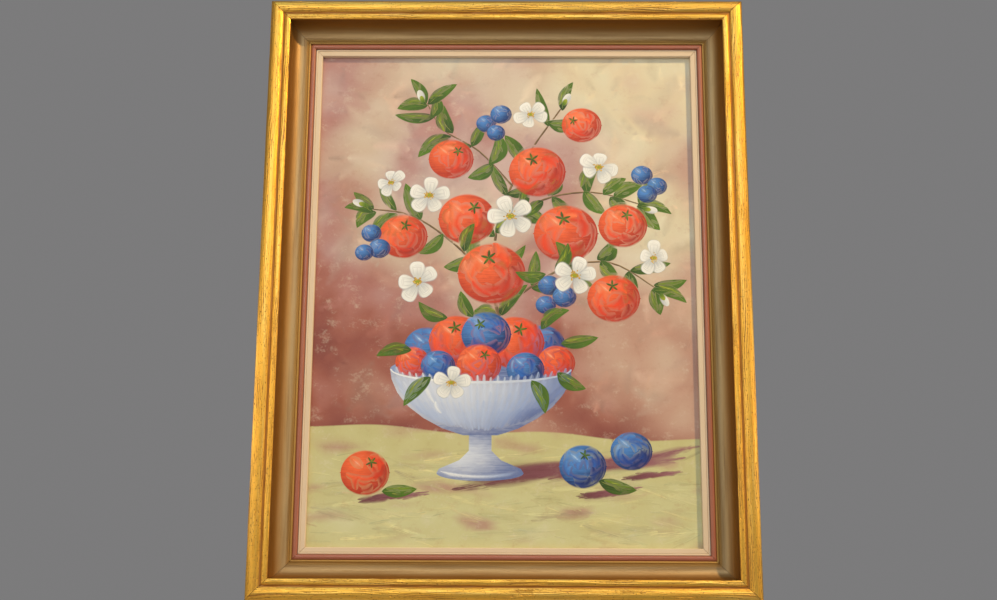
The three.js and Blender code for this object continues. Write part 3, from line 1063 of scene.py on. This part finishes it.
# %% Leaves behind, fruit and blossom on the boughs, leaves in front
for points, _, _ in boughs:
    route = curve_through(points, CURVE_STEPS)
    for i in range(3, len(route), 3):
        (ax, az), (bx, bz) = route[i - 1], route[i]
        ahead = math.degrees(math.atan2(bz - az, bx - ax))
        for way in (1, -1):
            leaf(bx, bz, ahead + way * brush.uniform(35, 80), brush.uniform(30, 52), brush.uniform(6.5, 10.5))
    leaf(*route[-1], ahead + brush.uniform(-15, 15), brush.uniform(34, 46), 7.5)

ripe = [
    (-122, 70, 29, 80), (-46, 92, 34, 60), (38, 152, 34, 110), (72, 74, 38, 100),
    (140, 84, 29, 70), (-66, 168, 27, 50), (92, 212, 24, 150), (128, -6, 31, 95), (-16, 24, 40, 100),
]  # fmt: skip
for x, z, radius, stalk in ripe:
    fruit(x, z, radius, RED, stalk)
for x, z, radius in (
    (-160, 74, 12), (-150, 55, 13), (-168, 50, 11), (164, 148, 13), (182, 134, 12), (170, 124, 12),
    (-24, 214, 12), (-6, 226, 13), (-12, 202, 11), (52, 10, 13), (70, -4, 14), (48, -14, 12),
):  # fmt: skip
    fruit(x, z, radius, BLUE)
for _ in range(9):
    i = brush.randrange(len(boughs))
    x, z = curve_through(boughs[i][0], CURVE_STEPS)[brush.randrange(4, 14)]
    if all(math.dist((x, z), (fx, fz)) > radius for fx, fz, radius, _ in ripe):
        leaf(x, z, brush.uniform(0, 360), brush.uniform(26, 38), brush.uniform(6, 8.5))
for x, z, radius, turn, squash, lean in (
    (-92, 122, 25, 10, 0.85, 30), (6, 96, 27, 40, 0.95, 0), (112, 158, 24, 0, 0.7, -30), (-104, 14, 26, 25, 0.8, 60),
    (30, 226, 21, 50, 0.75, 10), (176, 44, 22, 15, 0.7, 80), (82, 22, 25, 5, 0.9, 20), (-138, 138, 19, 33, 0.65, 45),
):  # fmt: skip
    blossom(x, z, radius, turn, squash, lean)
for x, z, angle in ((-176, 112, 160), (74, 246, 60), (-104, 250, 110), (188, -8, -60), (174, 104, -10)):
    bud(x, z, angle, 8, WHITE)

# %% Fruit heaped in the bowl
for x, z, radius, row, stalk in (
    (-92, -66, 26, BLUE, None), (44, -64, 27, BLUE, None), (-56, -58, 33, RED, 100), (12, -60, 34, RED, 70),
    (-22, -50, 29, BLUE, 120), (-108, -84, 20, RED, None), (60, -84, 22, RED, None), (-30, -86, 26, RED, 60),
    (-78, -88, 20, BLUE, None), (24, -92, 22, BLUE, None),
):  # fmt: skip
    fruit(x, z, radius, row, stalk)
for x, z, angle in ((-70, -34, 150), (40, -40, 35), (-40, -30, 115), (66, -62, 10), (-110, -66, 190)):
    leaf(x, z, angle, brush.uniform(34, 44), 8.5)

# %% The side of the bowl
bowl_side = (
    arc(BOWL_X, RIM_Z, RIM_HALF, RIM_DIP, 180, 360, 36)
    + [(BOWL_X + half, z) for half, z in SIDE_PROFILE]
    + [(BOWL_X - half, z) for half, z in reversed(SIDE_PROFILE)]
)
patch(bowl_side, shade(CHINA, 0.95), shade(CHINA, 0.0), glow=(-0.42, 0.25, 1.6), hairs=0.25)
for step in range(26):
    across = -0.9 + 1.8 * step / 25
    for row_step in range(5):
        down = (row_step + 0.3 + brush.uniform(-0.2, 0.2)) / 5
        half = RIM_HALF * math.sqrt(1 - (0.88 * down) ** 2)
        level = 0.9 - 0.34 * (across + 0.42) ** 2 * (1.1 if across > -0.42 else 1.8) - 0.3 * down
        level += 0.12 * max(0, across - 0.7) + brush.uniform(-0.06, 0.06)
        lean = math.degrees(math.atan2(-1, -across * (0.35 + 1.3 * down)))
        touch(
            BOWL_X + half * across,
            RIM_Z - RIM_DIP * math.sqrt(1 - across * across) * (1 - 0.4 * down) - 56 * down,
            lean, 12, 5.5, vary(shade(CHINA, level), 0.03), vary(shade(CHINA, level - 0.08), 0.03),
            soft=1.0, rag=0.5, hairs=0.5,
        )  # fmt: skip
for x, z, length in ((-88, -122, 13), (-78, -138, 8), (-70, -118, 9)):
    touch(x, z, -62, length, 4.5, shade(CHINA, 1), shade(CHINA, 0.94), soft=1.0, rag=0.4, bend=0.4)
rim = arc(BOWL_X, RIM_Z, RIM_HALF, RIM_DIP, 180, 360, 36)
rim += arc(BOWL_X, RIM_Z, RIM_HALF - 2, RIM_DIP - 3, 360, 180, 36)
patch(rim, shade(CHINA, 1), shade(CHINA, 0.55), tone=(0.4, 0.5, 0), hairs=0.4)

# %% Over the rim and on the table
for x, z, angle, length in ((-88, -100, 228, 46), (34, -104, 292, 42), (60, -98, 330, 38)):
    leaf(x, z, angle, length, 9)
blossom(-62, -108, 22, 12, 0.85, 10)
for x, z, reach, depth in ((-158, -232, 62, 12), (92, -226, 56, 12), (146, -206, 50, 11)):
    cast_shadow(x, z - 12, reach, depth)
fruit(-160, -214, 28, RED, 60)
fruit(146, -188, 24, BLUE)
fruit(90, -206, 27, BLUE, 80)
leaf(108, -224, -14, 44, 9)
leaf(-140, -236, 4, 40, 8)
print("touches in all:", len(touches))

# %% [markdown]
# ## Cutting the touches into one skin
#
# The canvas front is one flat skin. A constrained Delaunay triangulation cuts all outlines into it together
# with a grid, and tells which outlines each triangle lies in, so the last touch painted there owns
# it. Each corner then gets that touch's own two paints, its place within the touch, and the
# colour beneath, which shows through where the brush ran dry.

# %% Outlines and the triangulation
HALF_WIDTH = (canvas_high.x - canvas_low.x) / 2 / MM
HALF_HEIGHT = (canvas_high.z - canvas_low.z) / 2 / MM
GRID = 8
PAINTED_TO = 1.5
EDGE_STEPS, EDGE_GAP = 150, 0.8
THIN = 0.02


def outline_of(t):
    """The outline of a touch, running anticlockwise, a hair outside its painted shape."""
    if t["outline"]:
        ring = t["outline"]
        turned = sum(ax * bz - bx * az for (ax, az), (bx, bz) in zip(ring, ring[1:] + ring[:1]))
        return ring if turned > 0 else ring[::-1]
    round_ends = 6 if t["length"] < 3 else 7 if t["width"] < 8 else 9
    sides = []
    for side in (-1, 1):
        for i in range(1, round_ends):
            u = -math.cos(math.pi * i / round_ends)
            width = (1 - u * u) ** t["ending"] * (1 + t["skew"] * u)
            sides.append((u, t["bend"] * (u * u - BEND_SHARE) + side * (width * 1.05 + 0.02)))
    lower, upper = sides[: round_ends - 1], sides[round_ends - 1 :]
    tip = t["bend"] * (1 - BEND_SHARE)
    local = [(-1.03, tip)] + lower + [(1.03, tip)] + upper[::-1]
    c, s = math.cos(t["angle"]), math.sin(t["angle"])
    return [
        (t["x"] + u * t["length"] * c - v * t["width"] * s, t["z"] + u * t["length"] * s + v * t["width"] * c)
        for u, v in local
    ]


def within(value, half):
    return max(-half + PAINTED_TO, min(half - PAINTED_TO, value))


columns, rows = round(2 * HALF_WIDTH / GRID), round(2 * HALF_HEIGHT / GRID)
flat_points = [
    Vector((-HALF_WIDTH + 2 * HALF_WIDTH * i / columns, -HALF_HEIGHT + 2 * HALF_HEIGHT * j / rows))
    for i in range(columns + 1)
    for j in range(rows + 1)
]
for step in range(1, EDGE_STEPS):
    x = -HALF_WIDTH + 2 * HALF_WIDTH * step / EDGE_STEPS
    flat_points += [Vector((x, table_edge(x) + EDGE_GAP)), Vector((x, table_edge(x) - EDGE_GAP))]
outlines = []
for t in touches:
    ring = outline_of(t)
    outlines.append(list(range(len(flat_points), len(flat_points) + len(ring))))
    flat_points.extend(Vector((within(x, HALF_WIDTH), within(z, HALF_HEIGHT))) for x, z in ring)
cut_points, _, cut_faces, _, _, owners = delaunay_2d_cdt(flat_points, [], outlines, 0, 1e-4, True)
spots = np.array([tuple(p) for p in cut_points])
corners = np.array(cut_faces)
owner = np.array([max(found, default=-1) for found in owners])
print("triangles in the skin:", len(corners))


# %% What each corner knows
def values(name, index=None):
    """One setting of every touch, as a row of numbers."""
    return np.array([t[name] if index is None else t[name][index] for t in touches], dtype=float)


def tone_rule(t):
    """How far between its two paints a touch is, as two straight slopes over its shape."""
    if t["glow"]:
        u, v, reach = t["glow"]
        return (-u / reach, 1 / reach, 0, -v / reach, 0, 1 / reach)
    return (t["tone"][0], t["tone"][1], t["tone"][2], 0, 0, 0)


settings = {name: values(name) for name in ("x", "z", "angle", "length", "width", "bend", "ending", "skew", "soft")}
rules = np.array([tone_rule(t) for t in touches])
first_paint = np.array([t["first"] for t in touches])
second_paint = np.array([t["second"] for t in touches])
has_outline = np.array([bool(t["outline"]) for t in touches])


def local(which, where):
    """A place within a touch: u along it and v across it, each from -1 to 1."""
    c, s = np.cos(settings["angle"][which]), np.sin(settings["angle"][which])
    dx, dz = where[..., 0] - settings["x"][which], where[..., 1] - settings["z"][which]
    return (dx * c + dz * s) / settings["length"][which], (dz * c - dx * s) / settings["width"][which]


def tone_at(which, u, v):
    rule = rules[which]
    across = rule[..., 0] + rule[..., 1] * u + rule[..., 2] * v
    down = rule[..., 3] + rule[..., 4] * u + rule[..., 5] * v
    return across, down


# %% Lay the paint, touch by touch
ground = np.array([wash(x, z) for x, z in spots])
laid = ground.copy()
beneath = ground[corners]
triangles_of = [[] for _ in touches]
for triangle, found in enumerate(owners):
    for which in found:
        triangles_of[which].append(triangle)
for which, inside in enumerate(triangles_of):
    if not inside:
        continue
    inside = np.array(inside)
    own = inside[owner[inside] == which]
    beneath[own] = laid[corners[own]]
    points = np.unique(corners[inside])
    u, v = local(which, spots[points])
    width = np.maximum(1 - u * u, 0) ** settings["ending"][which] * (1 + settings["skew"][which] * u)
    off = np.abs(v - settings["bend"][which] * (u * u - BEND_SHARE)) / np.maximum(width, THIN)
    cover = np.clip((1 - off) / settings["soft"][which], 0, 1) * 0.75
    if has_outline[which]:
        cover = np.ones(len(points))
    tone = np.clip(np.hypot(*tone_at(which, u, v)), 0, 1)[:, None]
    colour = first_paint[which] * (1 - tone) + second_paint[which] * tone
    laid[points] += (colour - laid[points]) * cover[:, None]

# %% [markdown]
# ## The stretched canvas
#
# The skin becomes the front of the linen. Its border is extruded back round the stretcher bars and
# turned over behind, and from there the same border is brought back inside, 0.8 mm away, until the inner face
# closes it. That makes one closed sheet of cloth that goes round wood, as the real one does.

# %% Fold the linen round
CLOTH = 0.8 * MM
TURNOVER = 18 * MM


def notes_for_corners(mesh):
    """Stores what the paint needs to know at every corner of the skin."""
    bare = owner < 0
    which = np.repeat(np.where(bare, 0, owner)[:, None], 3, axis=1)
    where = spots[corners]
    u, v = local(which, where)
    across, down = tone_at(which, u, v)
    zero = np.zeros_like(u)
    seed = which * 7.31
    plain = bare[:, None] | has_outline[which]

    def of(name):
        return values(name)[which]

    bare3 = bare[:, None, None]
    wall = ground[corners]
    store(mesh, "touch_place", np.stack([np.where(plain, 0, u), np.where(plain, 0, v), zero], -1), "CORNER")
    store(mesh, "touch_form", np.stack([of("bend"), of("ending"), of("skew")], -1), "CORNER")
    edge = np.stack([of("soft"), np.where(plain, 0, of("rag")), np.where(bare[:, None], 0.5, of("hairs"))], -1)
    store(mesh, "touch_edge", edge, "CORNER")
    travel = np.stack([u * of("length"), v * of("width"), seed], -1)
    travel = np.where(bare3, np.concatenate([where, np.zeros_like(where[..., :1])], -1), travel)
    store(mesh, "touch_travel", travel, "CORNER")
    dapple = np.where(bare[:, None], 1, of("dapple"))
    tone = np.stack([np.where(bare[:, None], 0.5, across), np.where(bare[:, None], 0, down), dapple], -1)
    store(mesh, "touch_tone", tone, "CORNER")
    store(mesh, "first_paint", np.where(bare3, wall, first_paint[which]), "CORNER")
    store(mesh, "second_paint", np.where(bare3, wall * 0.96, second_paint[which]), "CORNER")
    store(mesh, "paint_beneath", beneath, "CORNER")


front_y = canvas_low.y
skin = bpy.data.meshes.new("painting")
skin.from_pydata([(x * MM, front_y, z * MM + middle.z) for x, z in spots], [], corners.tolist())
notes_for_corners(skin)
painting = bpy.data.objects.new("painted_canvas", skin)
bpy.context.collection.objects.link(painting)
select_only(painting)
bpy.ops.object.mode_set(mode="EDIT")
bpy.ops.mesh.select_mode(type="EDGE")
bpy.ops.mesh.select_all(action="SELECT")
bpy.ops.mesh.normals_make_consistent(inside=False)
bpy.ops.mesh.select_all(action="DESELECT")
bpy.ops.mesh.select_non_manifold(extend=False)


def pull_border(back, size, narrower):
    """Extrudes the selected border by back, draws its sides in by so much, and gives its new size."""
    bpy.ops.mesh.extrude_region_move(TRANSFORM_OT_translate={"value": (0, back, 0)})
    new_size = [length - 2 * narrower for length in size]
    if narrower:
        share_x, share_z = (new / old for new, old in zip(new_size, size))
        bpy.ops.transform.resize(value=(share_x, 1, share_z), center_override=(0, 0, middle.z))
    return new_size


side_depth = canvas_high.y - front_y
folds = (
    (side_depth, 0),
    (0, TURNOVER),
    (-CLOTH, 0),
    (0, CLOTH - TURNOVER),
    (2 * CLOTH - side_depth, 0),
)
border = [2 * HALF_WIDTH * MM, 2 * HALF_HEIGHT * MM]
for back, narrower in folds:
    border = pull_border(back, border, narrower)
bpy.ops.mesh.fill_grid(span=columns)
bpy.ops.mesh.select_all(action="SELECT")
bpy.ops.mesh.normals_make_consistent(inside=False)
bpy.ops.object.mode_set(mode="OBJECT")
print("canvas faces:", len(skin.polygons))

# %% [markdown]
# ## Oil paint and linen
#
# The paint finish reads those notes. It draws each touch's own outline, so edges are soft or ragged
# as the brush left them, mixes its two paints along the hairs of the brush, and lets the colour beneath show in
# the gaps. The same hairs are its relief. Linen is a plain weave: threads over and under each other.

# %% Oil paint
oil = Finish("oil_paint", Specular_IOR_Level=0.35)
along_touch, across_touch, _ = oil.split(oil.attribute("touch_place"))
bend, ending, skew = oil.split(oil.attribute("touch_form"))
soft, rag, hair_share = oil.split(oil.attribute("touch_edge"))
travel = oil.attribute("touch_travel")
squared = along_touch * along_touch
touch_width = oil.math("POWER", oil.math("MAXIMUM", 1 - squared, 0.0), ending) * (1 + skew * along_touch)
off_middle = oil.math("ABSOLUTE", across_touch - bend * (squared - BEND_SHARE))
off_middle = off_middle / oil.math("MAXIMUM", touch_width, THIN)
hairs = oil.noise(travel, (0.045, 1.15, 1), detail=3, roughness=0.65)
blotch = oil.noise(travel, (0.12, 0.3, 1), detail=2)
gaps = oil.ramp(hairs * 0.75 + blotch * 0.25, 0.34, 0.68)
cover = oil.ramp((1 - off_middle) / soft - gaps * rag, 0.0, 1.0)
tone_x, tone_y, dapple_share = oil.split(oil.attribute("touch_tone"))
tone = oil.math("SQRT", tone_x * tone_x + tone_y * tone_y) + (hairs + blotch * 0.5 - 0.75) * hair_share * 2.2
two_paints = oil.attribute("first_paint", "Color"), oil.attribute("second_paint", "Color")
paint_colour = oil.mix(oil.ramp(tone, 0.0, 1.0), *two_paints)
paint_colour = oil.mix(cover, oil.attribute("paint_beneath", "Color"), paint_colour)
paint_place = oil.place()
dapple = oil.noise(paint_place, (55, 55, 70), detail=6, roughness=0.7)
stipple = oil.noise(paint_place, (420, 420, 420), detail=3, roughness=0.6)
deeper = oil.ramp(dapple * 0.8 + stipple * 0.2, 0.52, 0.72) * dapple_share * 0.5
paler = oil.ramp(1 - dapple * 0.8 - stipple * 0.2, 0.52, 0.72) * dapple_share * 0.35
paint_colour = oil.mix(deeper, paint_colour, oil.stretch(paint_colour, (0.84, 0.68, 0.66)))
paint_colour = oil.mix(paler, paint_colour, pigment("e6dcc6"))
weave_x, _, weave_z = oil.split(paint_place)
THREAD = 2 * math.pi / (0.62 * MM)
weave = oil.math("SINE", weave_x * THREAD) * oil.math("SINE", weave_z * THREAD)
relief = hairs * 0.7 * cover + cover * 0.5 + weave * 0.06
OIL_PAINT = oil.wear(
    Base_Color=paint_colour,
    Roughness=0.5 - hairs * 0.12,
    Normal=oil.bump(relief, 0.22 * MM, 0.7),
)

# %% Linen
linen = Finish("raw_linen", Roughness=0.9)
thread_x, thread_y, thread_z = linen.split(linen.place())
side_way = thread_x + thread_y
warp = linen.math("SINE", side_way * THREAD)
weft = linen.math("SINE", (thread_z + thread_y) * THREAD)
slub = linen.noise(linen.place(), (900, 900, 60), detail=2)
slub_across = linen.noise(linen.place(), (60, 60, 900), detail=2)
knit = 0.5 + warp * weft * 0.5
linen_colour = linen.mix(knit, pigment("8d7a5c"), pigment("b7a582"))
linen_colour = linen.mix(linen.ramp(slub * 0.5 + slub_across * 0.5, 0.4, 0.7) * 0.6, linen_colour, pigment("c9bb9a"))
age = linen.noise(linen.place(), (9, 9, 9), detail=4)
linen_colour = linen.mix(linen.ramp(age, 0.45, 0.8) * 0.5, linen_colour, pigment("6e5a3c"))
RAW_LINEN = linen.wear(Base_Color=linen_colour, Normal=linen.bump(knit, 0.2 * MM, 0.8))

skin.materials.append(OIL_PAINT)
skin.materials.append(RAW_LINEN)
for face in skin.polygons:
    painted = face.normal.y < -0.9 and face.center.y < front_y + 0.1 * MM
    face.material_index = 0 if painted else 1
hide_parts("canvas")
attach(painting, "root")

# %% [markdown]
# ## Wood and steel behind
#
# The stretcher bars and the steel pieces are right as the solids give them, so they stay, and only get
# their finish. Pine grain runs along each bar, so upright and level bars have a finish each. The plates, screws
# and hanger are plated steel, bright where it is rubbed and grey where it isn't.


# %% Pine and plated steel
def pine_finish(name, scales):
    pine = Finish(name, Roughness=0.72)
    place = pine.place()
    rings = pine.noise(place, tuple(220 if s else 2.5 for s in scales), detail=4, roughness=0.55)
    pores = pine.noise(place, tuple(2400 if s else 30 for s in scales), detail=2)
    patch_noise = pine.noise(place, (12, 12, 12), detail=3)
    colour = pine.mix(pine.ramp(rings, 0.35, 0.7), pigment("d2ab76"), pigment("a87c48"))
    colour = pine.mix(pine.ramp(patch_noise, 0.5, 0.85) * 0.4, colour, pigment("8a6238"))
    colour = pine.mix(pine.ramp(pores, 0.62, 0.8) * 0.3, colour, pigment("6d4a26"))
    return pine.wear(Base_Color=colour, Normal=pine.bump(rings * 0.6 + pores * 0.4, 0.2 * MM, 0.6))


PINE_LEVEL = pine_finish("pine_level", (0, 1, 1))
PINE_UPRIGHT = pine_finish("pine_upright", (1, 1, 0))

steel = Finish("plated_steel", Metallic=1.0)
steel_place = steel.place()
bloom = steel.noise(steel_place, (120, 120, 120), detail=4, roughness=0.6)
scratch = steel.noise(steel_place, (90, 900, 2200), detail=3)
rust = steel.ramp(steel.noise(steel_place, (260, 260, 260), detail=4, roughness=0.7), 0.62, 0.72)
steel_colour = steel.mix(bloom, pigment("8f9092"), pigment("c3c2bd"))
steel_colour = steel.mix(rust * 0.6, steel_colour, pigment("7a4a2c"))
PLATED_STEEL = steel.wear(
    Base_Color=steel_colour,
    Roughness=0.3 + bloom * 0.25 + rust * 0.25,
    Normal=steel.bump(scratch * 0.6 + rust, 0.05 * MM, 0.6),
)

replaced = {f"frame_{side}" for side in SIDES} | {f"liner_{side}" for side in SIDES} | {"canvas"}
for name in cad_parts:
    if name in replaced:
        continue
    node = bpy.data.objects[name]
    if name.startswith("stretcher"):
        finish = PINE_LEVEL if name.endswith(("top", "bottom")) else PINE_UPRIGHT
    else:
        finish = PLATED_STEEL
    node.data.materials.clear()
    node.data.materials.append(finish)
    print("finish of", name, "is", finish.name)
